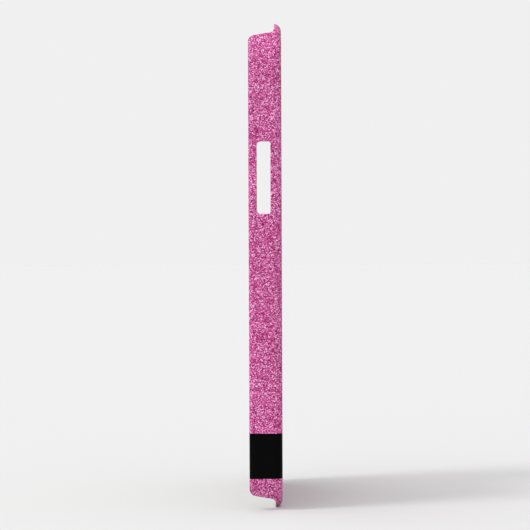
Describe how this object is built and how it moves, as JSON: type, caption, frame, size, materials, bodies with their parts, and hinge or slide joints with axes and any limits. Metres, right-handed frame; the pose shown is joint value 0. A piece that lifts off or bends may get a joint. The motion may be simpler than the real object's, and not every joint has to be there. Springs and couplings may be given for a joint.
{
  "type": "phone case",
  "caption": "Thin push-fit hard case for a slim phone, open at both ends, with side key slots, a camera opening and a glitter skin crossed by a plain black band.",
  "frame": {"origin": "centre of the case's footprint at its bottom end, where it stands", "axes": "+Z towards the phone's top, +X out of the case's back, -X out of the phone's screen, -Y on the side with the single key slot and the camera opening"},
  "size_m": [0.0102, 0.0746, 0.1497],
  "materials": {
    "shell": "satin moulded polycarbonate",
    "glitter_skin": "fine pink glitter film",
    "black_band": "plain black film, low gloss"
  },
  "bodies": {
    "root": {"shell": "shell", "upper_glitter_skin": "glitter_skin", "black_band": "black_band", "lower_glitter_skin": "glitter_skin"}
  },
  "joints": []
}
